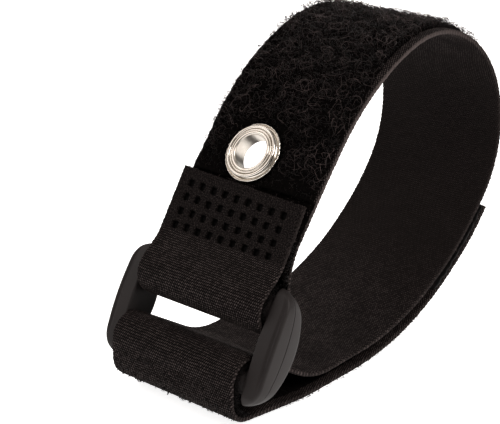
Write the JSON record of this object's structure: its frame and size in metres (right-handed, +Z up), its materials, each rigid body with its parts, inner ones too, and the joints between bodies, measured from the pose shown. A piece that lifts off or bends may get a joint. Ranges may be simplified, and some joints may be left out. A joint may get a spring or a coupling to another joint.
{
  "type": "hook-and-loop wrist strap",
  "caption": "Hook-and-loop wrist strap cinched into a moulded ring buckle, with a welded flap and a metal eyelet.",
  "frame": {"origin": "under the middle of the object, on the flat that the folded-back tail rests on", "axes": "+X along the wrist and across the strap, +Y from the buckle to the back of the loop, +Z up"},
  "size_m": [0.033, 0.0728, 0.0543],
  "materials": {
    "webbing": "black woven tape, ribbed",
    "pile": "black curly loop pile",
    "weld": "fused fibre, dull",
    "hooks": "moulded hooks, dull",
    "buckle": "dark grey moulded plastic, satin",
    "nickel": "bright nickel plate"
  },
  "bodies": {
    "band": {"strap_anchor": "webbing", "strap_band": "webbing", "band_pile": "pile", "anchor_pile": "pile", "weld_spots": "weld", "eyelet": "nickel", "eyelet_washer": "nickel"},
    "buckle": {"buckle_frame": "buckle", "strap_fold": "webbing", "fold_pile": "pile"},
    "tail": {"strap_tail": "webbing", "tail_pile": "pile"},
    "tail_tip": {"strap_tip": "webbing", "hook_tab": "hooks"}
  },
  "joints": [
    {"name": "buckle_swing", "type": "hinge", "parent": "band", "child": "buckle", "pos_m": [0, -0.02688, 0.0181], "axis": [-1, 0, 0], "range_deg": [0, 12]},
    {"name": "tail_lift", "type": "hinge", "parent": "buckle", "child": "tail", "pos_m": [0, -0.02971, 0.00125], "axis": [-1, 0, 0], "range_deg": [0, 70]},
    {"name": "tip_peel", "type": "hinge", "parent": "tail", "child": "tail_tip", "pos_m": [0, 0.01438, 0.00435], "axis": [-1, 0, 0], "range_deg": [0, 75]}
  ]
}
